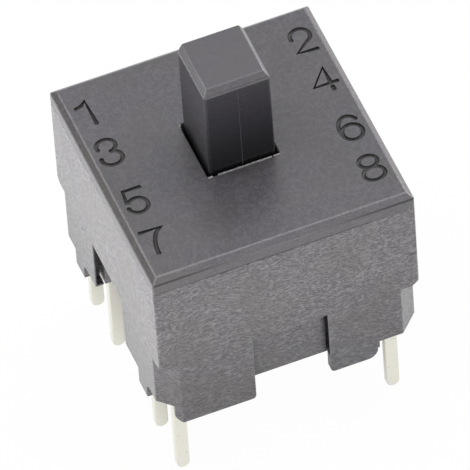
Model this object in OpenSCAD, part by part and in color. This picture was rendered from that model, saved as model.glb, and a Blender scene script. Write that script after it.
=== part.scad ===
// Pushbutton switch for a circuit board: a square moulded body with a tall square push stem,
// eight flat pins on a square grid and four contact bridges that slide with the stem.
// Sizes are in millimetres. The origin is the middle of the board's face under the body,
// +Z points up and the front of the body faces -Y.

/* [Pins] */
// Grid pitch of the pins
pin_pitch = 2.54; // [2.4:0.02:2.7]
// Width of a pin, seen from the front
pin_w = 0.6; // [0.5:0.02:0.7]
// Thickness of the terminal strip
pin_t = 0.38; // [0.3:0.02:0.44]
// Length of a pin below the board's face
pin_l = 4; // [3:0.1:5]

/* [Housing] */
// Wall of the square upper box
wall = 0.75; // [0.6:0.05:0.85]
// Wall of the skirt below the box
skirt_t = 0.4; // [0.3:0.02:0.5]
// Cut across each corner of the skirt, measured along the face
corner_cut = 0.9; // [0.7:0.05:1.1]
// Radius of the upright edges of the box
edge_r = 0.12; // [0.05:0.01:0.3]
// Bevel under the corners of the box, where they hang over the skirt
box_bevel = 0.25; // [0.1:0.01:0.35]
// Height of that bevel
box_bevel_h = 0.3; // [0.1:0.01:0.4]
// Thickness of the web that closes each cut corner of the skirt
corner_t = 0.12; // [0.08:0.01:0.16]
// Width of the recess in the middle of each side of the skirt
recess_w = 3.52; // [3:0.1:4]
// Thickness of the lip along both sides of each recess
lip_t = 0.08; // [0.06:0.01:0.15]
// Depth of the undercut behind that lip
undercut = 0.5; // [0.2:0.05:0.7]
// Width of the shorter leg on the front and the back
leg_w = 2.24; // [1.8:0.1:2.6]
// Radius of the outer bottom corner of the shorter leg
leg_r = 0.5; // [0.2:0.05:0.8]
// How far the wider leg reaches round the cut corner
heel_reach = 0.27; // [0.15:0.01:0.35]
// Radius of the outer bottom corner of the wider leg
heel_r = 0.35; // [0.2:0.05:0.6]
// Radius of the bottom corners of the legs beside the recess
toe_r = 0.2; // [0.1:0.05:0.4]
// Width of each foot on the left and right sides
lug_w = 1; // [0.7:0.05:1.3]
// Distance of those feet from the button's axis
lug_offset = 3.73; // [3.5:0.05:4]
// Fillet at the root of each of those feet
lug_fillet = 0.4; // [0.2:0.05:0.5]

/* [Cover] */
// Thickness of the cover plate
cover_t = 0.85; // [0.7:0.05:1.2]
// Chamfer round the top of the cover
cover_chamfer = 0.27; // [0.1:0.01:0.4]
// Thickness of the cover's two locating ribs
rib_t = 0.5; // [0.3:0.05:0.8]
// Room between those ribs and the walls
rib_clearance = 0.05; // [0.02:0.01:0.1]

/* [Base] */
// Height of the base's underside over the board
stand_off = 0.95; // [0.7:0.05:1.2]
// Thickness of the base
base_t = 2.92; // [2.7:0.02:3.4]
// Plastic of the base outside the pins
base_lip = 0.27; // [0.2:0.01:0.4]
// Room between the base and the skirt
base_clearance = 0.05; // [0.02:0.01:0.1]
// Depth of the hollow in the base behind the recess on the left and right
hollow_d = 0.33; // [0.1:0.01:0.4]
// Depth of the groove in the base beside the shorter leg
groove_d = 0.5; // [0.2:0.05:0.8]
// Plastic left above that hollow and that groove
groove_rim = 0.3; // [0.2:0.05:0.5]
// Plastic left under that groove
groove_floor = 0.12; // [0.08:0.01:0.3]
// Depth of the feet that stand under the base
foot_d = 0.7; // [0.5:0.05:1]
// How far such a foot reaches past the leg in front of it
foot_reach = 0.25; // [0.1:0.05:0.4]
// Depth of the sealing compound round the pins
seal_t = 0.5; // [0.3:0.05:0.8]
// Width of the sealing compound beside the pins
seal_margin = 0.12; // [0.08:0.01:0.2]

/* [Button] */
// Side of the square push stem
stem_w = 3.1; // [2.9:0.05:3.3]
// Height of the stem above the cover
stem_up = 5.3; // [3.5:0.1:6.5]
// Room between the stem and the cover's opening, on each side
stem_clearance = 0.125; // [0.06:0.005:0.2]
// Chamfer on the stem's top, measured inwards
stem_chamfer = 0.23; // [0.1:0.01:0.4]
// Chamfer on the stem's top, measured downwards
stem_chamfer_drop = 0.36; // [0.1:0.01:0.6]
// Radius of the stem's upright edges
stem_r = 0.14; // [0.05:0.01:0.3]
// Travel of the button
travel = 2.6; // [2:0.1:3.2]
// Offset of the button's axis towards the back
axis_y = 0.15; // [0:0.05:0.25]
// Thickness of the contact carrier at the foot of the stem
carrier_t = 1.5; // [1.3:0.05:1.8]
// Room over the carrier at rest
top_gap = 0.15; // [0.05:0.05:0.3]
// Room under the button when it is pressed home
bottom_gap = 0.48; // [0.1:0.02:0.6]

/* [Contacts] */
// Thickness of a contact bridge
bridge_t = 0.15; // [0.1:0.01:0.2]
// Height of a contact bridge
bridge_h = 0.9; // [0.7:0.05:1]
// Radius of the contact dimples
dimple_r = 0.3; // [0.2:0.02:0.36]
// Distance from a bridge to the terminal beside it
bridge_standoff = 0.2; // [0.15:0.01:0.25]
// Room left between a dimple and its terminal
wipe_gap = 0.04; // [0.02:0.01:0.08]
// Width of a terminal's contact tab
tab_w = 1.15; // [0.9:0.05:1.3]
// Width of the riser that carries the higher tabs
riser_w = 0.45; // [0.35:0.05:0.5]
// Height by which a tab overlaps its bridge above and below
tab_over = 0.15; // [0.05:0.05:0.25]
// Height of the shoulder that seats a terminal in the base
shoulder_h = 0.85; // [0.5:0.05:1.2]
// How far that shoulder reaches inwards past the pin
shoulder_in = 0.4; // [0.2:0.05:0.6]
// Room round a terminal in the base, and round a bridge in the carrier
slot_clearance = 0.02; // [0.01:0.005:0.04]
// Thickness of the plate that keeps the bridges in the carrier
retainer_t = 0.4; // [0.3:0.05:0.6]
// Diameter of the plate's four pegs
peg_d = 0.6; // [0.4:0.05:0.7]
// Height of those pegs
peg_h = 0.8; // [0.5:0.05:1]

/* [Return spring] */
// Outer diameter of the spring
spring_d = 1.9; // [1.7:0.05:2]
// Diameter of the spring wire
wire_d = 0.22; // [0.18:0.01:0.26]
// Number of turns
spring_turns = 11; // [8:1:13]
// Room round the spring in its bores
spring_clearance = 0.1; // [0.05:0.01:0.12]
// Depth of the spring's pocket in the base
pocket_depth = 1.67; // [1.2:0.01:2.2]
// Depth of the spring's bore above the carrier's underside
bore_depth = 3.85; // [3:0.05:4.5]
// Diameter of the post inside the spring
post_d = 1.1; // [0.9:0.05:1.2]
// Height of that post above the base
post_h = 2.2; // [1.5:0.1:2.4]

/* [Hidden] */
$fn = 48;
// Overlap that joins two shapes of one moulding, and room for clean cuts
lap = 0.3;
// Smallest gap kept between faces that only bear on each other
seat_gap = 0.02;

// Plan of the body, worked outwards from the pin grid
row_x = 2 * pin_pitch;
rows_y = [2 * pin_pitch, pin_pitch, -pin_pitch, -2 * pin_pitch];
pair_y = (rows_y[0] + rows_y[1]) / 2;
base_half = row_x + pin_w / 2 + base_lip;
body_half = base_half + base_clearance + skirt_t;
body_w = 2 * body_half;
cavity_half = body_half - wall;
skirt_reach = body_w - corner_cut;
leg_end = skirt_reach - body_half + heel_reach;
base_reach = skirt_reach - (corner_t + base_clearance) * sqrt(2);

// Heights, stacked from the board upwards
deck = stand_off + base_t;
seam = deck + bottom_gap + travel + retainer_t + carrier_t + top_gap;
body_top = seam + cover_t;
stem_top = body_top + stem_up;
carrier_z = seam - top_gap - carrier_t;

// Contacts: tabs stand at the walls, bridges reach between them
riser_out = cavity_half - rib_clearance;
riser_in = riser_out - riser_w;
tab_in = riser_out - tab_w;
bridge_end_gap = 0.1;
bridge_half = riser_in - bridge_end_gap;
closed_tab_z = carrier_z - tab_over;
closed_tab_top = carrier_z + bridge_h + tab_over;
open_tab_top = closed_tab_top - travel;
dimple_x = (tab_in + bridge_half) / 2;

// Contact carrier and the plate under it
carrier_gap = 0.65;
slot_wall = 0.35;
carrier_half_x = tab_in - carrier_gap;
carrier_half_y = row_x - pin_t / 2 - bridge_standoff + slot_wall;
plate_inset = 0.15;
peg_clearance = 0.02;
peg_x = carrier_half_x - 2 * peg_d;
peg_y = pair_y;

// Cover ribs reach down to just above the higher tabs
rib_gap = 0.1;
rib_h = seam - closed_tab_top - rib_gap;

// Return spring
bore_d = spring_d + 2 * spring_clearance;
pocket_z = deck - pocket_depth;
spring_z = pocket_z + seat_gap;
spring_l = carrier_z + bore_depth - seat_gap - spring_z;
wire_sides = 8;
turn_steps = 20;

body_grey = [0.27, 0.265, 0.275];
stem_grey = [0.25, 0.25, 0.265];
tin = [0.82, 0.81, 0.76];
bronze = [0.72, 0.52, 0.3];
steel = [0.7, 0.71, 0.72];
resin = [0.12, 0.11, 0.1];

// Square with round corners
module rounded_square(w, r) {
    square([w, w - 2 * r], center = true);
    square([w - 2 * r, w], center = true);
    for (x = [-1, 1], y = [-1, 1])
        translate([x * (w / 2 - r), y * (w / 2 - r)]) circle(r);
}

// Square whose corners are cut straight across, so that |x| + |y| stays within reach
module cut_square(half, reach) {
    intersection() {
        square(2 * half, center = true);
        rotate(45) square(reach * sqrt(2), center = true);
    }
}

// Endless ridge along Y with a flat top at height h and a chamfer on its left or both long edges
module chamfered_ridge(w, h, run, drop, both) {
    side = w / 2 + lap;
    chamfer_end = h - drop - lap * drop / run;
    right = both ? [[w / 2 - run, h], [side, chamfer_end]] : [[side, h]];
    rotate([90, 0, 0]) linear_extrude(w + 2 * lap, center = true)
        polygon(concat([[side, -lap], [-side, -lap], [-side, chamfer_end], [-w / 2 + run, h]], right));
}

// Square block with round upright edges and a chamfer round its top, at the back only if asked for
module topped_block(w, h, r, run, drop, back) {
    intersection() {
        linear_extrude(h + lap) rounded_square(w, r);
        chamfered_ridge(w, h, run, drop, true);
        rotate(90) chamfered_ridge(w, h, run, drop, back);
    }
}

// Leg of the skirt, seen from the front, that reaches from one x to another with round bottom corners
module leg(from, to, from_r, to_r) {
    top = stand_off + lap;
    translate([from + from_r, 0]) square([to - to_r - from - from_r, top]);
    translate([from, from_r]) square([from_r + lap, top - from_r]);
    translate([to - to_r - lap, to_r]) square([to_r + lap, top - to_r]);
    translate([from + from_r, from_r]) circle(from_r);
    translate([to - to_r, to_r]) circle(to_r);
}

// Front or back of the skirt: a wide leg, the recess, a shorter leg and a raised end
module leg_profile() {
    translate([-body_half, stand_off]) square([body_half - recess_w / 2, deck + lap - stand_off]);
    translate([recess_w / 2, stand_off]) square([body_half - recess_w / 2, deck + lap - stand_off]);
    translate([-recess_w / 2 - lap, deck]) square([recess_w + 2 * lap, lap]);
    leg(-leg_end, -recess_w / 2, heel_r, toe_r);
    leg(recess_w / 2, recess_w / 2 + leg_w, toe_r, leg_r);
}

// Left or right of the skirt: a raised edge with the recess and two small feet, filleted on one side
module lug_profile(shift) {
    difference() {
        translate([-body_half, stand_off]) square([body_w, deck + lap - stand_off]);
        translate([shift - recess_w / 2, 0]) square([recess_w, deck]);
    }
    for (s = [-1, 1]) translate([shift + s * lug_offset, 0]) {
        translate([-lug_w / 2, 0]) square([lug_w, stand_off + lap]);
        translate([lug_w / 2, stand_off - lug_fillet]) difference() {
            translate([-lap, 0]) square(lug_fillet + lap);
            translate([lug_fillet, 0]) circle(lug_fillet);
        }
    }
}

// One side of the skirt, standing on the front face, with the undercut behind the lips of its recess
module skirt_side(shift) {
    undercut_w = recess_w + 2 * undercut;
    undercut_z = stand_off + groove_floor;
    difference() {
        translate([0, -body_half + skirt_t, 0]) rotate([90, 0, 0]) linear_extrude(skirt_t) children();
        translate([shift - undercut_w / 2, -body_half + lip_t, undercut_z])
            cube([undercut_w, skirt_t, deck - undercut_z]);
    }
}

// Thin webs across the cut corners, which join the four sides of the skirt
module corner_webs() {
    translate([0, 0, stand_off]) linear_extrude(deck + lap - stand_off) difference() {
        square(body_w, center = true);
        rotate(45) square((skirt_reach - corner_t * sqrt(2)) * sqrt(2), center = true);
    }
}

// Square box, turned upside down, with a bevel under each of its corners
module box_block(h) {
    intersection() {
        linear_extrude(h) rounded_square(body_w, edge_r);
        rotate(45) chamfered_ridge(body_w * sqrt(2), h, box_bevel, box_bevel_h, true);
        rotate(-45) chamfered_ridge(body_w * sqrt(2), h, box_bevel, box_bevel_h, true);
    }
}

module housing() {
    color(body_grey) {
        difference() {
            translate([0, 0, seam]) mirror([0, 0, 1]) box_block(seam - deck);
            translate([0, 0, deck - lap]) linear_extrude(seam - deck + 2 * lap)
                rounded_square(2 * cavity_half, edge_r);
        }
        intersection() {
            linear_extrude(deck + lap) cut_square(body_half, skirt_reach);
            union() {
                skirt_side(0) leg_profile();
                rotate(180) skirt_side(0) leg_profile();
                rotate(-90) skirt_side(-axis_y) lug_profile(-axis_y);
                rotate(90) skirt_side(axis_y) lug_profile(axis_y);
                corner_webs();
            }
        }
    }
}

module cover() {
    opening_w = stem_w + 2 * stem_clearance;
    color(body_grey) {
        difference() {
            translate([0, 0, seam])
                topped_block(body_w, cover_t, edge_r, cover_chamfer, cover_chamfer, true);
            translate([0, axis_y, seam - lap]) linear_extrude(cover_t + 2 * lap)
                rounded_square(opening_w, stem_r);
        }
        for (s = [-1, 1])
            translate([s * (riser_out - rib_t / 2), 0, seam - rib_h / 2 + lap / 2])
                cube([rib_t, 2 * riser_out, rib_h + lap], center = true);
    }
}

// Outline of one terminal, seen from the front: pin, seating shoulder, riser and contact tab
module terminal_profile(closed, grow) {
    pin_in = row_x - pin_w / 2;
    tab_top = closed ? closed_tab_top : open_tab_top;
    tab_z = closed ? closed_tab_z : deck;
    pin_end = -pin_l + pin_w / 2;
    translate([row_x, pin_end]) circle(d = pin_w);
    translate([pin_in - grow, pin_end]) square([pin_w + 2 * grow, deck - pin_end]);
    translate([pin_in - shoulder_in - grow, deck - shoulder_h - grow])
        square([shoulder_in + pin_w + 2 * grow, shoulder_h + grow]);
    translate([riser_in, deck - shoulder_h / 2]) square([riser_w, tab_top - deck + shoulder_h / 2]);
    translate([tab_in, tab_z]) square([tab_w, tab_top - tab_z]);
}

// Flat strip of that outline at its place in the pin grid, odd numbers on the left
module terminal_strip(number, grow) {
    row = floor((number - 1) / 2);
    closed = row == 0 || row == 3;
    mirror([number % 2, 0, 0])
        translate([0, rows_y[row] + pin_t / 2 + grow, 0]) rotate([90, 0, 0])
            linear_extrude(pin_t + 2 * grow) terminal_profile(closed, grow);
}

module terminal(number) {
    color(tin) terminal_strip(number, 0);
}

// Channels under the base, round each pair of pins, that take the sealing compound
module seal_channels(height) {
    channel_w = pin_w + 2 * seal_margin;
    channel_l = pin_pitch + pin_t + 2 * seal_margin;
    for (x = [-1, 1], y = [-1, 1])
        translate([x * row_x, y * pair_y, stand_off + height / 2])
            cube([channel_w, channel_l, height], center = true);
}

module pin_seals() {
    color(resin) difference() {
        seal_channels(seal_t);
        for (n = [1:8]) terminal_strip(n, 0);
    }
}

// Small foot under the base, behind the shorter leg of the front
module base_foot() {
    foot_w = leg_w / 2 + foot_reach;
    translate([recess_w / 2 + leg_w / 2, -base_half, 0]) cube([foot_w, foot_d, stand_off + lap]);
}

// Groove in the front of the base, behind the lip of the shorter leg
module base_groove() {
    translate([recess_w / 2, -base_half - lap, stand_off + groove_floor])
        cube([undercut, groove_d + lap, base_t - groove_floor - groove_rim]);
}

// Hollow in the left or right side of the base, behind the recess of the skirt
module base_hollow(side) {
    height = base_t - groove_rim + lap;
    translate([side * base_half, axis_y, stand_off - lap + height / 2])
        cube([2 * hollow_d, recess_w, height], center = true);
}

module base() {
    color(body_grey) {
        difference() {
            union() {
                translate([0, 0, stand_off]) linear_extrude(base_t) cut_square(base_half, base_reach);
                base_foot();
                rotate(180) base_foot();
            }
            for (n = [1:8]) terminal_strip(n, slot_clearance);
            translate([0, 0, -lap]) seal_channels(seal_t + lap);
            base_groove();
            rotate(180) base_groove();
            for (s = [-1, 1]) base_hollow(s);
            translate([0, axis_y, pocket_z]) cylinder(d = bore_d, h = pocket_depth + lap);
        }
        translate([0, axis_y, pocket_z - lap]) cylinder(d = post_d, h = lap + pocket_depth + post_h);
    }
}

// Which way the dimples of a bridge face: outwards in the outer rows, inwards in the inner ones
function bridge_way(row) = (row == 0 || row == 2) ? 1 : -1;

// Face of the bridge that carries the dimples
function bridge_face(row) = rows_y[row] - bridge_way(row) * (pin_t / 2 + bridge_standoff);

// Flat strip of a bridge, with room round it when it is used as a cut
module bridge_strip(row, grow) {
    mid = bridge_face(row) - bridge_way(row) * bridge_t / 2;
    translate([0, mid, carrier_z + bridge_h / 2])
        cube([2 * bridge_half, bridge_t + 2 * grow, bridge_h + 2 * grow], center = true);
}

module bridge(row) {
    way = bridge_way(row);
    tip = rows_y[row] - way * (pin_t / 2 + wipe_gap);
    color(bronze) {
        bridge_strip(row, 0);
        for (s = [-1, 1])
            translate([s * dimple_x, 0, carrier_z + bridge_h / 2]) intersection() {
                translate([0, tip - way * dimple_r, 0]) sphere(dimple_r);
                translate([0, bridge_face(row) + way * (dimple_r - bridge_t / 2), 0])
                    cube(2 * dimple_r, center = true);
            }
    }
}

// Places of the pegs that hold the retaining plate
module at_pegs() {
    for (x = [-1, 1], y = [-1, 1]) translate([x * peg_x, y * peg_y, 0]) children();
}

module plunger() {
    color(stem_grey) difference() {
        union() {
            translate([0, axis_y, carrier_z + lap])
                topped_block(stem_w, stem_top - carrier_z - lap, stem_r,
                    stem_chamfer, stem_chamfer_drop, false);
            translate([-carrier_half_x, -carrier_half_y, carrier_z])
                cube([2 * carrier_half_x, 2 * carrier_half_y, carrier_t]);
        }
        for (row = [0:3]) bridge_strip(row, slot_clearance);
        translate([0, axis_y, carrier_z - lap]) cylinder(d = bore_d, h = bore_depth + lap);
        at_pegs() translate([0, 0, carrier_z - lap])
            cylinder(d = peg_d + 2 * peg_clearance, h = peg_h + peg_clearance + lap);
    }
}

module bridge_retainer() {
    plate_x = 2 * (carrier_half_x - plate_inset);
    plate_y = 2 * (carrier_half_y - plate_inset);
    color(stem_grey) {
        difference() {
            translate([-plate_x / 2, -plate_y / 2, carrier_z - retainer_t])
                cube([plate_x, plate_y, retainer_t]);
            translate([0, axis_y, carrier_z - retainer_t - lap])
                cylinder(d = bore_d, h = retainer_t + 2 * lap);
        }
        at_pegs() translate([0, 0, carrier_z - retainer_t / 2])
            cylinder(d = peg_d, h = peg_h + retainer_t / 2);
    }
}

// Height of the wire's centre after a number of turns: the first and last turn lie closed
function wire_height(turn) =
    let (rise = spring_l - wire_d)
    turn < 1 ? turn * wire_d
    : turn > spring_turns - 1 ? rise - (spring_turns - turn) * wire_d
    : wire_d + (turn - 1) / (spring_turns - 2) * (rise - 2 * wire_d);

module return_spring() {
    coil_r = (spring_d - wire_d) / 2;
    steps = spring_turns * turn_steps;
    points = [
        for (i = [0:steps], j = [0:wire_sides - 1])
            let (a = 360 * i / turn_steps, b = 360 * j / wire_sides)
            let (r = coil_r + wire_d / 2 * cos(b))
            [r * cos(a), r * sin(a), wire_height(i / turn_steps) + wire_d / 2 * (1 + sin(b))]
    ];
    sides = [
        for (i = [0:steps - 1], j = [0:wire_sides - 1])
            let (k = (j + 1) % wire_sides, n = i * wire_sides)
            [n + j, n + wire_sides + j, n + wire_sides + k, n + k]
    ];
    start = [[for (j = [0:wire_sides - 1]) j]];
    end = [[for (j = [0:wire_sides - 1]) steps * wire_sides + wire_sides - 1 - j]];
    color(steel) translate([0, axis_y, spring_z]) polyhedron(points, concat(sides, start, end));
}

housing();
cover();
base();
pin_seals();
plunger();
bridge_retainer();
return_spring();
terminal(1);  // terminal_1
terminal(2);  // terminal_2
terminal(3);  // terminal_3
terminal(4);  // terminal_4
terminal(5);  // terminal_5
terminal(6);  // terminal_6
terminal(7);  // terminal_7
terminal(8);  // terminal_8
bridge(0);  // bridge_1_2
bridge(1);  // bridge_3_4
bridge(2);  // bridge_5_6
bridge(3);  // bridge_7_8
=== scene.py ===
import math

import bmesh
import bpy
from mathutils import Matrix, Quaternion, Vector, noise


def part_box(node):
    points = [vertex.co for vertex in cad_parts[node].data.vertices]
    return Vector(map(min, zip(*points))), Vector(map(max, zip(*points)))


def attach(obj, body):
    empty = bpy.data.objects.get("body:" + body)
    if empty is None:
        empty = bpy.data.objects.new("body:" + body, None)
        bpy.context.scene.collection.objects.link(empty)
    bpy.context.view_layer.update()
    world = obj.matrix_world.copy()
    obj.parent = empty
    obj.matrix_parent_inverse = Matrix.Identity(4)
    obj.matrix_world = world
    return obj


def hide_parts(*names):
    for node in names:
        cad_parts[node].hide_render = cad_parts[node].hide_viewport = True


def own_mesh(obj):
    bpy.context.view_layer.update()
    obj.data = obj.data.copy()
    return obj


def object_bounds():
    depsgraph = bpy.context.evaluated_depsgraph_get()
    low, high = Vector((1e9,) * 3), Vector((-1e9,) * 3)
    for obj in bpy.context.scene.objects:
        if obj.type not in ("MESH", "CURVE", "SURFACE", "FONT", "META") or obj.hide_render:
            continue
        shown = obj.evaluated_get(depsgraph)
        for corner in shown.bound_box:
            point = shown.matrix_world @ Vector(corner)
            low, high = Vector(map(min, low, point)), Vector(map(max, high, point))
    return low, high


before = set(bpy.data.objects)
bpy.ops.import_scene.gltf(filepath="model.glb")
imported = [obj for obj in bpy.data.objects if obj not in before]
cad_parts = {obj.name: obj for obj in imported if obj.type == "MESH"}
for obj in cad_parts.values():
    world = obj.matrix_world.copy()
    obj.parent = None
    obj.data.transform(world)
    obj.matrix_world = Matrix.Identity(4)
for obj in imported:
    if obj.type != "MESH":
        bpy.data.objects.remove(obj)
cad_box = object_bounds()

# Base: the block inside the skirt that carries the terminals. It is moulded from the same
# glass-filled plastic as the housing, and its walls show in the recesses of the skirt.
mm = 0.001
body_colour = (0.114, 0.109, 0.116, 1)
# The rounded edges of the base and housing are painted lighter: a painted highlight.
body_edge_highlight_colour = (0.16, 0.155, 0.16, 1)
body_fibre_colour = (0.46, 0.455, 0.45, 1)
# The body's plastic is painted darker towards its bottom: a painted shade.
body_painted_foot_shade = (0.62, 0.0, 0.0065)
base_edge = 0.03
plain_face, round_face = 0, 1


def add(tree, kind, settings=None, **inputs):
    """Adds one shader node; inputs are numbers to set or sockets to link, by the socket's name."""
    made = tree.nodes.new("ShaderNode" + kind)
    for name, value in (settings or {}).items():
        setattr(made, name, value)
    for name, value in inputs.items():
        socket = made.inputs[name.replace("_", " ")]
        if isinstance(value, bpy.types.NodeSocket):
            tree.links.new(value, socket)
        else:
            socket.default_value = value
    return made


def blend_colours(tree, mode, factor, first, second):
    """Mixes two colours, each a socket or a plain colour, and returns the result's socket."""
    mix = add(tree, "Mix", {"data_type": "RGBA", "blend_type": mode, "clamp_factor": True})
    for socket, value in zip((mix.inputs[0], mix.inputs[6], mix.inputs[7]), (factor, first, second)):
        if isinstance(value, bpy.types.NodeSocket):
            tree.links.new(value, socket)
        else:
            socket.default_value = value
    return mix.outputs[2]


def calculate(tree, operation, first, second):
    """One sum of two values, each a socket or a number."""
    made = add(tree, "Math", {"operation": operation})
    for socket, value in zip(made.inputs, (first, second)):
        if isinstance(value, bpy.types.NodeSocket):
            tree.links.new(value, socket)
        else:
            socket.default_value = value
    return made.outputs[0]


def spread(tree, value, low, high, to_low=0.0, to_high=1.0):
    """Stretches the part of a value between low and high over a new range."""
    made = add(tree, "MapRange", {"interpolation_type": "SMOOTHSTEP"}, Value=value)
    for name, number in (("From Min", low), ("From Max", high), ("To Min", to_low), ("To Max", to_high)):
        made.inputs[name].default_value = number
    return made.outputs[0]


def speckle(tree, vector, size, detail, roughness=0.5):
    """A noise pattern with so many waves to each unit of its vector, as a value from 0 to 1."""
    made = add(tree, "TexNoise", Vector=vector, Scale=size, Detail=detail, Roughness=roughness)
    return made.outputs["Fac"]


def new_group(name, inputs, outputs):
    """An empty shader node group with its named sockets, and the nodes that stand for them inside."""
    tree = bpy.data.node_groups.new(name, "ShaderNodeTree")
    for title, kind, value in inputs:
        socket = tree.interface.new_socket(title, in_out="INPUT", socket_type="NodeSocket" + kind)
        socket.default_value = value
    for title, kind in outputs:
        tree.interface.new_socket(title, in_out="OUTPUT", socket_type="NodeSocket" + kind)
    return tree, tree.nodes.new("NodeGroupInput"), tree.nodes.new("NodeGroupOutput")


def make_glass_fibre():
    """Look of moulded glass-filled plastic: short fibres that follow the melt's flow, a fine grain, and a
    painted shade that darkens it towards the bottom.
    """
    flow_size = 300
    flow_bend = 0.0016
    strands_drawn = ((0.34, 0.00018, 0.000055), (0.02, 0.00030, 0.000085))
    strand_range = (0.42, 0.72)
    grain_size = 15000
    cloud_size = 420
    thin_range, thinnest = (0.34, 0.58), 0.62
    tint_range = (0.35, 0.65)
    warm_tint, cool_tint = (1.045, 1.02, 1.01, 1), (0.94, 0.92, 0.985, 1)
    roughness_swing = 0.18
    grain_height, fibre_height = 0.6, 0.5
    tree, given, result = new_group(
        "glass_fibre",
        [
            ("Plastic", "Color", (0.1, 0.1, 0.1, 1)),
            ("Fibre", "Color", (0.3, 0.3, 0.3, 1)),
            ("Fibre Amount", "Float", 0.5),
            ("Grain Amount", "Float", 0.2),
            ("Roughness", "Float", 0.4),
            ("Painted Foot Shade", "Float", 1.0),
            ("Foot Height", "Float", 0.0),
            ("Full Height", "Float", 0.01),
        ],
        [("Colour", "Color"), ("Roughness", "Float"), ("Height", "Float")],
    )
    place = add(tree, "TexCoord").outputs["Object"]
    flow = add(tree, "TexNoise", Vector=place, Scale=flow_size, Detail=2.0)
    offset = add(tree, "VectorMath", {"operation": "SUBTRACT"})
    tree.links.new(flow.outputs["Color"], offset.inputs[0])
    offset.inputs[1].default_value = (0.5, 0.5, 0.5)
    bend = add(tree, "VectorMath", {"operation": "SCALE"}, Scale=flow_bend)
    tree.links.new(offset.outputs[0], bend.inputs[0])
    bent = add(tree, "VectorMath", {"operation": "ADD"})
    tree.links.new(place, bent.inputs[0])
    tree.links.new(bend.outputs[0], bent.inputs[1])
    layers = []
    for tilt, length, width in strands_drawn:
        drawn = add(
            tree, "Mapping", {"vector_type": "TEXTURE"}, Vector=bent.outputs[0],
            Rotation=(0, tilt, 0), Scale=(length, length, width),
        )
        layers.append(speckle(tree, drawn.outputs[0], 1.0, detail=2.0, roughness=0.55))
    cloud = speckle(tree, place, cloud_size, detail=3.0)
    strands = spread(tree, calculate(tree, "MAXIMUM", *layers), *strand_range)
    fibre = calculate(tree, "MULTIPLY", strands, spread(tree, cloud, *thin_range, thinnest, 1.0))
    grain = speckle(tree, place, grain_size, detail=2.0, roughness=0.7)
    fibre_share = calculate(tree, "MULTIPLY", fibre, given.outputs["Fibre Amount"])
    colour = blend_colours(tree, "MIX", fibre_share, given.outputs["Plastic"], given.outputs["Fibre"])
    tint = blend_colours(tree, "MIX", spread(tree, cloud, *tint_range), warm_tint, cool_tint)
    colour = blend_colours(tree, "MULTIPLY", 1.0, colour, tint)
    # Painted shade: the colour darkens towards the foot, between the Foot Height and the Full Height.
    rise = add(tree, "MapRange", {"interpolation_type": "SMOOTHSTEP"})
    tree.links.new(add(tree, "SeparateXYZ", Vector=place).outputs["Z"], rise.inputs["Value"])
    limits = {"From Min": "Foot Height", "From Max": "Full Height", "To Min": "Painted Foot Shade"}
    for name, source in limits.items():
        tree.links.new(given.outputs[source], rise.inputs[name])
    swing = calculate(tree, "SUBTRACT", grain, 0.5)
    swing = calculate(tree, "MULTIPLY", swing, given.outputs["Grain Amount"])
    level = calculate(tree, "MULTIPLY", calculate(tree, "ADD", swing, 1.0), rise.outputs[0])
    shade = add(tree, "CombineColor")
    for channel in shade.inputs:
        tree.links.new(level, channel)
    colour = blend_colours(tree, "MULTIPLY", 1.0, colour, shade.outputs[0])
    tree.links.new(colour, result.inputs["Colour"])
    patchy = calculate(tree, "MULTIPLY", calculate(tree, "SUBTRACT", cloud, 0.5), roughness_swing)
    tree.links.new(calculate(tree, "ADD", given.outputs["Roughness"], patchy), result.inputs["Roughness"])
    raised_grain = calculate(tree, "MULTIPLY", grain, grain_height)
    raised_fibre = calculate(tree, "MULTIPLY", fibre, fibre_height)
    tree.links.new(calculate(tree, "ADD", raised_grain, raised_fibre), result.inputs["Height"])
    return tree


glass_fibre = make_glass_fibre()


def new_material(name):
    """A node material with a Principled shader, and its tree and shader."""
    material = bpy.data.materials.new(name)
    material.use_nodes = True
    return material, material.node_tree, material.node_tree.nodes["Principled BSDF"]


def raise_relief(tree, shader, height, distance, strength):
    """Gives a shader relief of so many metres from a height pattern."""
    bump = add(tree, "Bump", Height=height, Distance=distance, Strength=strength)
    tree.links.new(bump.outputs["Normal"], shader.inputs["Normal"])


def moulded_plastic(
    name, plastic, fibre, *, fibre_amount, grain_amount, roughness, relief=0.000006, ior=1.62, foot=None,
):
    """A moulded plastic with the fibre look; foot is a painted shade, darker towards the bottom, and the two
    heights it fades between.
    """
    material, tree, shader = new_material(name)
    look = tree.nodes.new("ShaderNodeGroup")
    look.node_tree = glass_fibre
    look.inputs["Plastic"].default_value = plastic
    look.inputs["Fibre"].default_value = fibre
    look.inputs["Fibre Amount"].default_value = fibre_amount
    look.inputs["Grain Amount"].default_value = grain_amount
    look.inputs["Roughness"].default_value = roughness
    for socket, value in zip(("Painted Foot Shade", "Foot Height", "Full Height"), foot or ()):
        look.inputs[socket].default_value = value
    tree.links.new(look.outputs["Colour"], shader.inputs["Base Color"])
    tree.links.new(look.outputs["Roughness"], shader.inputs["Roughness"])
    shader.inputs["IOR"].default_value = ior
    raise_relief(tree, shader, look.outputs["Height"], distance=relief, strength=0.5)
    return material


body_plastic = moulded_plastic(
    "body_plastic", body_colour, body_fibre_colour,
    fibre_amount=0.6, grain_amount=1.6, roughness=0.24, foot=body_painted_foot_shade,
)
body_edge_highlight = moulded_plastic(
    "body_edge_highlight", body_edge_highlight_colour, body_fibre_colour,
    fibre_amount=0.5, grain_amount=0.5, roughness=0.30, relief=0.000008, foot=body_painted_foot_shade,
)


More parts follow.
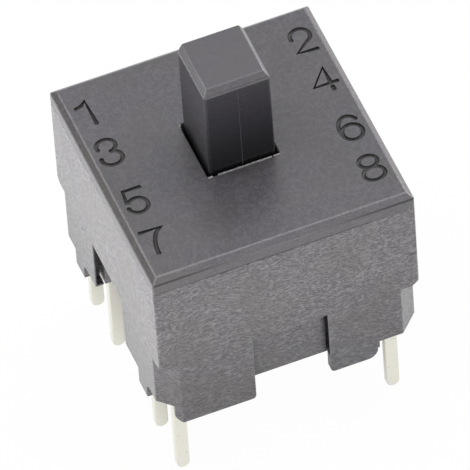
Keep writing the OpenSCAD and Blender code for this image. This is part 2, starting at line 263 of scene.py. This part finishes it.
def clean_copy(node):
    """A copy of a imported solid, in millimetres, merged into whole faces."""
    weld = 0.0005
    flat = math.radians(0.5)
    shape = bmesh.new()
    shape.from_mesh(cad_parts[node].data)
    bmesh.ops.scale(shape, vec=Vector((1, 1, 1)) / mm, verts=shape.verts)
    bmesh.ops.remove_doubles(shape, verts=shape.verts, dist=weld)
    bmesh.ops.dissolve_limit(shape, angle_limit=flat, verts=shape.verts, edges=shape.edges)
    for face in shape.faces:
        face.material_index = plain_face
        face.smooth = True
    for edge in shape.edges:
        edge.smooth = True
    return shape


def soften(shape, radius, skip=lambda middle: False):
    """Rounds a shape's sharp edges, apart from those to skip, and marks the narrow faces this makes."""
    sharp_angle = math.radians(25)
    sliver_area = 0.0005
    sharp = [
        edge for edge in shape.edges
        if edge.is_manifold and edge.calc_face_angle() > sharp_angle
        and not skip((edge.verts[0].co + edge.verts[1].co) / 2)
        and all(face.material_index == plain_face for face in edge.link_faces)
        and all(face.calc_area() > sliver_area for face in edge.link_faces)
    ]
    rounded = bmesh.ops.bevel(
        shape, geom=sharp, offset=radius, offset_type="OFFSET", affect="EDGES", segments=2,
        profile=0.5, material=-1, clamp_overlap=False,
    )
    for face in rounded["faces"]:
        length = max(edge.calc_length() for edge in face.edges)
        if face.calc_area() < 2 * radius * length:
            face.material_index = round_face
            face.smooth = True
    return shape


def settle(shape, name, materials, body, slot, *nodes):
    """Turns a shape in millimetres into a piece in the frame's metres that stands for its CAD nodes."""
    crease = math.radians(50)
    bmesh.ops.scale(shape, vec=(mm, mm, mm), verts=shape.verts)
    shape.normal_update()
    for edge in shape.edges:
        edge.smooth = edge.smooth and edge.is_manifold and edge.calc_face_angle() < crease
    mesh = bpy.data.meshes.new(name)
    shape.to_mesh(mesh)
    shape.free()
    for material in materials:
        mesh.materials.append(material)
    piece = bpy.data.objects.new(name, mesh)
    bpy.context.scene.collection.objects.link(piece)
    weighted = piece.modifiers.new("weighted_normals", "WEIGHTED_NORMAL")
    weighted.keep_sharp = True
    weighted.weight = 100
    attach(piece, body)
    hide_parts(*nodes)
    return piece


settle(
    soften(clean_copy("base"), base_edge), "base_block", [body_plastic, body_edge_highlight],
    "switch_body", "body_plastic", "base",
)

# Terminals: eight flat strips punched from sheet brass and tinned, held in the base. Each ends
# below in a round-nosed pin, and the punch leaves its edges slightly rolled over. The two pins
# at the front right are a little bent.
tin_colour = (0.79, 0.775, 0.695, 1)
tin_stain_colour = (0.40, 0.39, 0.33, 1)
pin_count = 8
pin_edge = 0.05
bent_pins = (6, 8)
bend_reach = 0.5
bend_top, bend_end = 0.85, -0.75
bend_steps = 6


def make_tin():
    """Tin plating: bright and warm, with dull patches and a few darker specks."""
    patch_size, speck_size = 1500.0, 5200.0
    stain_range, stain_share = (0.62, 0.76), 0.75
    patch_range, patch_roughness = (0.3, 0.7), (0.30, 0.48)
    material, tree, shader = new_material("tinned_brass")
    place = add(tree, "TexCoord").outputs["Object"]
    patches = speckle(tree, place, patch_size, detail=4.0, roughness=0.6)
    specks = speckle(tree, place, speck_size, detail=3.0, roughness=0.7)
    stain = spread(tree, specks, *stain_range, 0.0, stain_share)
    colour = blend_colours(tree, "MIX", stain, tin_colour, tin_stain_colour)
    tree.links.new(colour, shader.inputs["Base Color"])
    shader.inputs["Metallic"].default_value = 0.9
    tree.links.new(spread(tree, patches, *patch_range, *patch_roughness), shader.inputs["Roughness"])
    raise_relief(tree, shader, patches, distance=0.00002, strength=0.4)
    return material


def bend_back(strip):
    """Pushes the lower end of a pin backwards, in a gentle curve between two heights."""
    for step in range(bend_steps + 1):
        height = bend_top + (bend_end - bend_top) * step / bend_steps
        everything = strip.verts[:] + strip.edges[:] + strip.faces[:]
        bmesh.ops.bisect_plane(strip, geom=everything, plane_co=(0, 0, height), plane_no=(0, 0, 1))
    for vert in strip.verts:
        share = min(1, max(0, (bend_top - vert.co.z) / (bend_top - bend_end)))
        vert.co.y += bend_reach * share * share * (3 - 2 * share)


tinned_brass = make_tin()
for number in range(1, pin_count + 1):
    strip = soften(clean_copy(f"terminal_{number}"), pin_edge)
    if number in bent_pins:
        bend_back(strip)
    settle(
        strip, f"terminal_strip_{number}", [tinned_brass, tinned_brass],
        "switch_body", "tinned_brass", f"terminal_{number}",
    )

# Sealing compound: resin poured into the channels under the base, one round each pair of pins.
# It sets dark and glossy, with a slightly uneven surface.
resin_colour = (0.022, 0.019, 0.016, 1)
resin_dust_colour = (0.07, 0.06, 0.05, 1)


def dress(node, material):
    """Gives a CAD node its finished material in place of the plain one."""
    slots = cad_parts[node].data.materials
    slots.clear()
    slots.append(material)


def make_resin():
    """Poured sealing resin with soft unevenness and dust."""
    swell_size, dust_size = 900.0, 9000.0
    dust_range, dust_share = (0.55, 0.8), 0.5
    dull_range, dull_roughness = (0.3, 0.8), (0.16, 0.4)
    material, tree, shader = new_material("sealing_resin")
    place = add(tree, "TexCoord").outputs["Object"]
    swell = speckle(tree, place, swell_size, detail=2.0)
    dust = speckle(tree, place, dust_size, detail=4.0, roughness=0.7)
    dusty = spread(tree, dust, *dust_range, 0.0, dust_share)
    colour = blend_colours(tree, "MIX", dusty, resin_colour, resin_dust_colour)
    tree.links.new(colour, shader.inputs["Base Color"])
    tree.links.new(spread(tree, dust, *dull_range, *dull_roughness), shader.inputs["Roughness"])
    raise_relief(tree, shader, swell, distance=0.00008, strength=0.6)
    return material


dress("pin_seals", make_resin())

# Return spring: a coil of drawn steel wire that stands round the base's post and lifts the stem.
# The wire carries fine drawing lines. It gets shorter by the button's travel as that is pressed.
steel_colour, steel_shade = (0.46, 0.46, 0.47, 1), (0.36, 0.36, 0.38, 1)


def rolled_metal(name, colour, shade, roughness):
    """Rolled or drawn metal: fine lines along its length and a slow change of tone."""
    line_sizes = (1200, 9000, 9000)
    tone_size = 800.0
    middle_range = (0.3, 0.7)
    roughness_swing = 0.16
    material, tree, shader = new_material(name)
    place = add(tree, "TexCoord").outputs["Object"]
    drawn = add(tree, "Mapping", Vector=place, Scale=line_sizes)
    lines = speckle(tree, drawn.outputs[0], 1.0, detail=3.0)
    tone = speckle(tree, place, tone_size, detail=2.0)
    mixed = blend_colours(tree, "MIX", spread(tree, tone, *middle_range), colour, shade)
    tree.links.new(mixed, shader.inputs["Base Color"])
    shader.inputs["Metallic"].default_value = 1.0
    dull = spread(tree, lines, *middle_range, roughness, roughness + roughness_swing)
    tree.links.new(dull, shader.inputs["Roughness"])
    raise_relief(tree, shader, lines, distance=0.000006, strength=0.4)
    return material


spring_steel = rolled_metal("spring_steel", steel_colour, steel_shade, roughness=0.22)
spring_coil = settle(
    clean_copy("return_spring"), "spring_coil", [spring_steel],
    "switch_body", "spring_steel", "return_spring",
)
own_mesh(spring_coil)

# Contact bridges: four strips of rolled bronze, which join the terminals left and right
# as they slide with the stem.
bronze_colour, bronze_shade = (0.52, 0.33, 0.14, 1), (0.44, 0.25, 0.10, 1)

contact_bronze = rolled_metal("contact_bronze", bronze_colour, bronze_shade, roughness=0.26)
for pair in ("1_2", "3_4", "5_6", "7_8"):
    dress(f"bridge_{pair}", contact_bronze)

# Push stem: a smooth, darker moulding with the contact carrier at its foot. The two halves of the
# mould meet down the middle of its front and back and leave a fine raised line there.
# Its chamfers and rounded edges, apart from the left chamfer, are painted lighter as a painted highlight.
# Its top and the raised lines are painted lighter as painted light, and its sides darker towards the
# cover as a painted shade.
stem_colour = (0.040, 0.038, 0.044, 1)
stem_highlight_colour = (0.106, 0.103, 0.112, 1)
stem_top_colour = (0.080, 0.077, 0.086, 1)
stem_fibre_colour = (0.30, 0.295, 0.31, 1)
stem_highlight_fibre_colour = (0.4, 0.4, 0.4, 1)
stem_painted_foot_shade = (0.22, 0.0098, 0.0142)
stem_edge = 0.055
stem_axis_y = 0.15
stem_half = 1.55
stem_chamfer_drop = 0.36
chamfer_area = 0.5
chamfer_slope = (0.2, 0.95)
left_slope = -0.5
parting_width = 0.03
parting_height = 0.016
parting_foot = 9.3
stem_highlight_face, stem_top_face = 1, 2

stem_plastic = moulded_plastic(
    "stem_plastic", stem_colour, stem_fibre_colour,
    fibre_amount=0.06, grain_amount=0.25, roughness=0.27, relief=0.000004, ior=1.5, foot=stem_painted_foot_shade,
)
stem_painted_highlight = moulded_plastic(
    "stem_painted_highlight", stem_highlight_colour, stem_highlight_fibre_colour,
    fibre_amount=0.12, grain_amount=0.8, roughness=0.34,
)
stem_top = moulded_plastic(
    "stem_top", stem_top_colour, stem_fibre_colour,
    fibre_amount=0.05, grain_amount=0.6, roughness=0.30, relief=0.000004,
)
stem = soften(clean_copy("plunger"), stem_edge)
stem_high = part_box("plunger")[1] / mm
chamfer_foot = stem_high.z - stem_chamfer_drop - stem_edge
stem.normal_update()
# The chamfers apart from the left one get the painted highlight, and the top face the painted light.
for face in stem.faces:
    sloping = chamfer_slope[0] < face.normal.z < chamfer_slope[1]
    on_the_chamfer = sloping and face.calc_center_median().z > chamfer_foot
    if on_the_chamfer and face.normal.x > left_slope:
        face.material_index = stem_highlight_face
    if on_the_chamfer and face.calc_area() > chamfer_area:
        for edge in face.edges:
            edge.smooth = False
    if face.normal.z > chamfer_slope[1] and face.calc_center_median().z > stem_high.z - stem_edge:
        face.material_index = stem_top_face
for side in (-1, 1):
    middle = (0, stem_axis_y + side * stem_half, (chamfer_foot + parting_foot) / 2)
    line = bmesh.ops.create_cube(stem, size=1.0)["verts"]
    bmesh.ops.scale(stem, vec=(parting_width, 2 * parting_height, chamfer_foot - parting_foot), verts=line)
    bmesh.ops.translate(stem, vec=middle, verts=line)
    for face in {face for vert in line for face in vert.link_faces}:
        face.material_index = stem_top_face
settle(stem, "push_stem", [stem_plastic, stem_painted_highlight, stem_top], "button", "stem_plastic", "plunger")

# Bridge retainer: the plate under the carrier, pegged into it, that keeps the bridges in their slots.
# It is moulded from the stem's plastic.
dress("bridge_retainer", stem_plastic)

# Housing: the square box with its thinner skirt, legs and feet, moulded in one piece from
# glass-filled plastic. The base sits inside it, and the cover closes it at a fine dark seam.
# A small nick marks the right end of its front face.
housing_edge = 0.035
corner_reach = 10.6
nick_place = Vector((5.95, -6.1, 6.0))
nick_size = (0.5, 0.12, 0.035)
level_slope = 0.9999


def place_for_cutting(name, shape):
    """Puts a shape in the scene as an object for a moment, and frees the shape."""
    mesh = bpy.data.meshes.new(name)
    shape.to_mesh(mesh)
    shape.free()
    part = bpy.data.objects.new(name, mesh)
    bpy.context.scene.collection.objects.link(part)
    return part


def cut_away(shape, cutters, cut_index):
    """Cuts cutters out of a shape, all in millimetres, and gives the cut faces their material's index."""
    flat_area = 1.0
    sliver = 0.0005
    for cutter in cutters:
        for face in cutter.faces:
            face.material_index = cut_index
            face.smooth = True
    target = place_for_cutting("cut_target", shape)
    tools = [place_for_cutting(f"cutter_{count}", cutter) for count, cutter in enumerate(cutters)]
    for tool in tools:
        cut = target.modifiers.new(tool.name, "BOOLEAN")
        cut.operation = "DIFFERENCE"
        cut.solver = "EXACT"
        cut.use_self = True
        cut.object = tool
    done = bmesh.new()
    done.from_mesh(target.evaluated_get(bpy.context.evaluated_depsgraph_get()).to_mesh())
    for part in (target, *tools):
        bpy.data.objects.remove(part)
    bmesh.ops.dissolve_degenerate(done, dist=sliver, edges=done.edges)
    done.normal_update()
    for face in done.faces:
        if face.calc_area() > flat_area or face.normal.z > level_slope:
            face.smooth = False
    return done


nick = bmesh.new()
bmesh.ops.create_cube(nick, size=1.0)
bmesh.ops.scale(nick, vec=nick_size, verts=nick.verts)
bmesh.ops.translate(nick, vec=nick_place, verts=nick.verts)
housing = soften(cut_away(clean_copy("housing"), [nick], round_face), housing_edge)
housing_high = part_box("housing")[1] / mm
# The painted highlight on rounded edges is left off at the seam and at the corners.
for face in housing.faces:
    middle = face.calc_center_median()
    at_the_seam = middle.z > housing_high.z - 2 * housing_edge
    at_a_corner = abs(middle.x) + abs(middle.y) > corner_reach
    if face.material_index == round_face and (at_the_seam or at_a_corner):
        face.material_index = plain_face
settle(housing, "housing_shell", [body_plastic, body_edge_highlight], "switch_body", "body_plastic", "housing")

# Cover: the square top plate with a chamfered edge and the stem's opening, fixed onto the housing.
# The terminals' numbers are engraved in its top face, and the opening's front edge carries a
# frayed burr. Its top is painted darker than its sides and chamfers, which are painted lighter:
# painted shade and painted light. Its left chamfer is duller and browner than the rest, and painted
# darker as a painted shade. The numerals' grooves are painted near black as a painted shade, and
# the rim round the top is painted lighter as a painted highlight.
# The top is painted darker than the housing's plastic, a painted shade, and the sides and chamfers lighter,
# painted light.
cover_shaded_colour = (0.069, 0.066, 0.074, 1)
cover_lit_side_colour = (0.125, 0.12, 0.127, 1)
# The left chamfer is painted darker and browner: a painted shade.
cover_shaded_left_colour = (0.052, 0.048, 0.046, 1)
# The rounded rim edge round the top is painted lighter: a painted highlight.
cover_rim_highlight_colour = (0.135, 0.13, 0.138, 1)
cover_arris_colour = (0.05, 0.047, 0.046, 1)
seam_colour = (0.03, 0.028, 0.028, 1)
# Where the seam and the chamfer's lower edge are not dark, they are painted lighter: a painted highlight.
line_end_highlight_colour = (0.20, 0.195, 0.20, 1)
# The grooves of the numerals are painted near black: a painted shade.
engraved_shade_colour = (0.014, 0.013, 0.014, 1)
burr_colour, burr_fibre_colour = (0.30, 0.298, 0.30, 1), (0.52, 0.52, 0.51, 1)
cover_edge = 0.05
cover_chamfer = 0.27
top_slope = 0.95
left_chamfer_slope = 0.3
numeral_columns = {1: -4.98, 0: 5.0}
numeral_rows = (4.1, 1.62, -1.43, -3.9)
numeral_inner, numeral_outer = 3.8, 5.75
field_x = (-3.9, 3.9)
field_y = (2.86, 0.1, -2.66)
stroke_radius = 0.116
stroke_sink = 0.04
opening_half = 1.675
burr_radius = 0.035
burr_steps = 80
burr_waves, burr_start = 3.1, (0.7, 0.2)
burr_gap = -0.38
burr_least, burr_rise = 0.7, 1.2
engraved_face, burr_face, seam_face, arris_face, lit_side_face, shaded_left_face = range(2, 8)


def arc(x, y, reach_x, reach_y, start, end):
    """Points along part of an ellipse, from one angle to another in degrees."""
    steps = max(6, int(abs(end - start) / 12))
    turn = [math.radians(start + (end - start) * step / steps) for step in range(steps + 1)]
    return [(x + reach_x * math.cos(a), y + reach_y * math.sin(a)) for a in turn]


numeral_strokes = {
    1: [[(-0.46, 0.40), (-0.20, 0.47), (0.03, 0.70), (0.06, -0.70)]],
    2: [arc(0.02, 0.27, 0.45, 0.43, 190, -38) + [(-0.45, -0.62), (0.45, -0.69)]],
    3: [arc(-0.07, 0.38, 0.43, 0.37, 195, -75), arc(-0.06, -0.36, 0.47, 0.40, 72, -190)],
    4: [[(0.24, -0.18), (0.23, 0.67), (-0.55, -0.29), (0.53, -0.29)], [(0.24, -0.52), (0.24, -0.68)]],
    5: [[(0.39, 0.67), (-0.38, 0.69), (-0.46, 0.0)] + arc(-0.03, -0.28, 0.45, 0.43, 142, -172)],
    6: [arc(0.03, 0.0, 0.50, 0.70, 38, 200), arc(0.03, -0.25, 0.46, 0.45, 0, 360)],
    7: [[(-0.55, 0.66)] + arc(0.55, -0.70, 0.77, 1.38, 98, 180)],
    8: [arc(-0.02, 0.37, 0.42, 0.34, 97, 457), arc(-0.01, -0.36, 0.48, 0.38, 0, 360)],
}


def stroke_cutter(points, x, y, z):
    """A round-ended cutter along one stroke of a numeral that stands at x and y, in millimetres."""
    closing_gap = 0.001
    weld = 0.0005
    end_radius = stroke_radius * 1.02
    closed = (Vector(points[0]) - Vector(points[-1])).length < closing_gap
    route = points[:-1] if closed else points
    curve = bpy.data.curves.new("stroke", "CURVE")
    curve.dimensions = "3D"
    curve.bevel_depth = stroke_radius
    curve.bevel_resolution = 2
    curve.use_fill_caps = True
    spline = curve.splines.new("POLY")
    spline.points.add(len(route) - 1)
    for point, (along, up) in zip(spline.points, route):
        point.co = (x + along, y + up, z, 1)
    spline.use_cyclic_u = closed
    tube = bpy.data.objects.new("stroke", curve)
    bpy.context.scene.collection.objects.link(tube)
    mesh = bpy.data.meshes.new_from_object(tube.evaluated_get(bpy.context.evaluated_depsgraph_get()))
    bpy.data.objects.remove(tube)
    cutter = bmesh.new()
    cutter.from_mesh(mesh)
    bmesh.ops.remove_doubles(cutter, verts=cutter.verts, dist=weld)
    for along, up in [] if closed else (route[0], route[-1]):
        place = Matrix.Translation((x + along, y + up, z))
        bmesh.ops.create_uvsphere(cutter, u_segments=14, v_segments=10, radius=end_radius, matrix=place)
    return cutter


def joint_line(name, dark_colour, dark_at, plain_at):
    """A dark line along a joint or an edge, which fades into a lighter colour, a painted highlight, between
    two distances from the middle.
    """
    material, tree, shader = new_material(name)
    place = add(tree, "SeparateXYZ", Vector=add(tree, "TexCoord").outputs["Object"])
    away = calculate(tree, "ABSOLUTE", place.outputs["X"], 0.0)
    fade = spread(tree, away, dark_at, plain_at)
    colour = blend_colours(tree, "MIX", fade, dark_colour, line_end_highlight_colour)
    tree.links.new(colour, shader.inputs["Base Color"])
    shader.inputs["Roughness"].default_value = 0.45
    return material


def among_the_numerals(middle):
    """True for a place on the top face where the numerals stand."""
    in_a_column = numeral_inner < abs(middle.x) < numeral_outer
    return in_a_column and abs(middle.y) < numeral_outer


cover_shaded_plastic = moulded_plastic(
    "cover_shaded_plastic", cover_shaded_colour, body_fibre_colour, fibre_amount=0.09, grain_amount=1.0, roughness=0.30,
)
cover_rim_highlight = moulded_plastic(
    "cover_rim_highlight", cover_rim_highlight_colour, body_fibre_colour, fibre_amount=0.2, grain_amount=0.8, roughness=0.32,
)
engraved_shaded_line = moulded_plastic(
    "engraved_shaded_line", engraved_shade_colour, body_fibre_colour,
    fibre_amount=0.08, grain_amount=0.4, roughness=0.6, relief=0.00001,
)
burr_plastic = moulded_plastic(
    "frayed_burr", burr_colour, burr_fibre_colour,
    fibre_amount=1.0, grain_amount=0.6, roughness=0.5, relief=0.000008,
)
seam_line = joint_line("seam_line", seam_colour, dark_at=0.0038, plain_at=0.0046)
# The lower edge of the front and back chamfers is dark towards its ends and lighter in the middle.
cover_arris = joint_line("cover_arris", cover_arris_colour, dark_at=0.0056, plain_at=0.0004)
cover_lit_side = moulded_plastic(
    "cover_lit_side", cover_lit_side_colour, body_fibre_colour, fibre_amount=0.12, grain_amount=0.9, roughness=0.25,
)
cover_shaded_left = moulded_plastic(
    "cover_shaded_left", cover_shaded_left_colour, body_fibre_colour,
    fibre_amount=0.08, grain_amount=0.9, roughness=0.6, ior=1.35,
)
cover_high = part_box("cover")[1] / mm
stroke_z = cover_high.z - stroke_sink
cutters = [
    stroke_cutter(points, numeral_columns[number % 2], numeral_rows[(number - 1) // 2], stroke_z)
    for number, strokes in numeral_strokes.items() for points in strokes
]
cover = clean_copy("cover")
field_lines = [((x, 0, 0), (1, 0, 0)) for x in field_x] + [((0, y, 0), (0, 1, 0)) for y in field_y]
for place, way in field_lines:
    everything = cover.verts[:] + cover.edges[:] + cover.faces[:]
    bmesh.ops.bisect_plane(cover, geom=everything, plane_co=place, plane_no=way)
cover = soften(cut_away(cover, cutters, engraved_face), cover_edge, among_the_numerals)
cover.normal_update()
for face in cover.faces:
    middle = face.calc_center_median()
    face.smooth = face.smooth and face.normal.z < level_slope
    outside = max(abs(middle.x), abs(middle.y)) > cover_high.x - cover_chamfer - 2 * cover_edge
    if face.material_index == round_face and not outside:
        face.material_index = plain_face
    elif face.material_index == round_face and middle.z < housing_high.z + 2 * cover_edge:
        face.material_index = seam_face
    elif face.material_index == round_face and middle.z < cover_high.z - cover_chamfer + cover_edge:
        face.material_index = arris_face if abs(middle.y) > abs(middle.x) else lit_side_face
    elif face.material_index == plain_face and outside and face.normal.z < top_slope:
        to_the_left = face.normal.x < -left_chamfer_slope and face.normal.z > left_chamfer_slope
        face.material_index = shaded_left_face if to_the_left else lit_side_face
for step in range(burr_steps):
    x = -opening_half + 2 * opening_half * (step + 0.5) / burr_steps
    ragged = noise.noise(Vector((x * burr_waves, *burr_start)))
    if ragged < burr_gap:
        continue
    height = burr_radius * (burr_least + burr_rise * abs(ragged))
    flake = bmesh.ops.create_cube(cover, size=1.0)["verts"]
    bmesh.ops.scale(cover, vec=(2 * opening_half / burr_steps, 2 * burr_radius, 2 * height), verts=flake)
    bmesh.ops.translate(cover, vec=(x, stem_axis_y - opening_half - burr_radius, cover_high.z), verts=flake)
    for face in {face for vert in flake for face in vert.link_faces}:
        face.material_index = burr_face
settle(
    cover, "cover_plate",
    [cover_shaded_plastic, cover_rim_highlight, engraved_shaded_line, burr_plastic, seam_line, cover_arris, cover_lit_side, cover_shaded_left],
    "switch_body", "body_plastic", "cover",
)

# Studio: a wide pale floor under the pins, white all round, and soft boxes above, in front,
# at the left and at the right. The front and left ones stand near, so their light falls off
# along the faces. The floor keeps a faint shadow.
floor_reach = 0.5
floor_colour = (0.9, 0.9, 0.9, 1)
floor_white_share = 0.965
shade_edge = (0.003, 0.006)
world_light = 0.20
softboxes = {
    "zenith_box": {"from": (0.0, 0.05, 1.0), "away": 0.35, "side": 0.40, "radiance": 1.5},
    "front_box": {"from": (-0.40, -0.88, 0.22), "away": 0.10, "side": 0.071, "radiance": 1.3},
    "left_box": {"from": (-0.95, 0.30, 0.30), "away": 0.12, "side": 0.085, "radiance": 4.6},
    "right_box": {"from": (0.95, 0.20, 0.30), "away": 0.34, "side": 0.24, "radiance": 5.2},
}


def seen_directly(tree, mirrored_share=1.0):
    """1 for rays that show a surface to the camera, a share for those in a mirror or glass, 0 for light."""
    path = add(tree, "LightPath").outputs
    mirrored = calculate(tree, "MAXIMUM", path["Is Glossy Ray"], path["Is Transmission Ray"])
    mirrored = calculate(tree, "MULTIPLY", mirrored, mirrored_share)
    return calculate(tree, "MAXIMUM", path["Is Camera Ray"], mirrored)


def beside_the_body(tree):
    """0 on the floor under the body, which lies in its shade, and 1 beside it."""
    place = add(tree, "SeparateXYZ", Vector=add(tree, "TexCoord").outputs["Object"])
    away = [calculate(tree, "ABSOLUTE", place.outputs[axis], 0.0) for axis in ("X", "Y")]
    return spread(tree, calculate(tree, "MAXIMUM", *away), *shade_edge)


floor_mesh = bpy.data.meshes.new("floor")
floor_shape = bmesh.new()
bmesh.ops.create_circle(floor_shape, cap_ends=True, segments=96, radius=floor_reach)
bmesh.ops.translate(floor_shape, vec=(0, 0, cad_box[0].z), verts=floor_shape.verts)
floor_shape.to_mesh(floor_mesh)
floor_shape.free()
floor_white, floor_tree, floor_shader = new_material("floor_white")
floor_shader.inputs["Base Color"].default_value = floor_colour
floor_shader.inputs["Roughness"].default_value = 0.8
floor_glow = add(floor_tree, "Emission", Color=(1, 1, 1, 1), Strength=1.0)
floor_shown = seen_directly(floor_tree, beside_the_body(floor_tree))
floor_level = spread(floor_tree, floor_shown, 0.0, 1.0, 0.0, floor_white_share)
floor_mix = add(floor_tree, "MixShader", Fac=floor_level)
floor_tree.links.new(floor_shader.outputs[0], floor_mix.inputs[1])
floor_tree.links.new(floor_glow.outputs[0], floor_mix.inputs[2])
floor_tree.links.new(floor_mix.outputs[0], floor_tree.nodes["Material Output"].inputs["Surface"])
floor_mesh.materials.append(floor_white)
floor = bpy.data.objects.new("floor", floor_mesh)
bpy.context.scene.collection.objects.link(floor)

for name, box in softboxes.items():
    lamp = bpy.data.lights.new(name, "AREA")
    lamp.size = box["side"]
    lamp.energy = box["radiance"] * box["side"] ** 2 * math.pi
    way = Vector(box["from"]).normalized()
    holder = bpy.data.objects.new(name, lamp)
    holder.location = way * box["away"]
    holder.rotation_euler = (-way).to_track_quat("-Z", "Y").to_euler()
    bpy.context.scene.collection.objects.link(holder)

world = bpy.data.worlds.new("studio")
world.use_nodes = True
sky = world.node_tree.nodes["Background"]
sky.inputs["Color"].default_value = (1, 1, 1, 1)
sky_level = spread(world.node_tree, seen_directly(world.node_tree), 0.0, 1.0, world_light, 1.0)
world.node_tree.links.new(sky_level, sky.inputs["Strength"])
bpy.context.scene.world = world
bpy.context.scene.view_settings.view_transform = "Standard"

# Camera: far off with a long lens, as small parts are photographed, a little left of the front and
# looking well down on the cover, turned slightly about its own axis.
camera_azimuth = math.radians(-18.664)
camera_elevation = math.radians(49.496)
camera_roll = math.radians(4.384)
camera_distance = 567.4
camera_aim = Vector((-0.340, -0.606, 4.396))
photo_width = 470
photo_focal_length = 13000

towards_camera = Vector((
    math.sin(camera_azimuth) * math.cos(camera_elevation),
    -math.cos(camera_azimuth) * math.cos(camera_elevation),
    math.sin(camera_elevation),
))
camera_data = bpy.data.cameras.new("camera")
camera_data.lens = camera_data.sensor_width * photo_focal_length / photo_width
camera = bpy.data.objects.new("camera", camera_data)
camera.location = (camera_aim + towards_camera * camera_distance) * mm
camera.rotation_mode = "QUATERNION"
upright = (-towards_camera).to_track_quat("-Z", "Y")
camera.rotation_quaternion = upright @ Quaternion((0, 0, 1), -camera_roll)
bpy.context.scene.collection.objects.link(camera)
bpy.context.scene.camera = camera
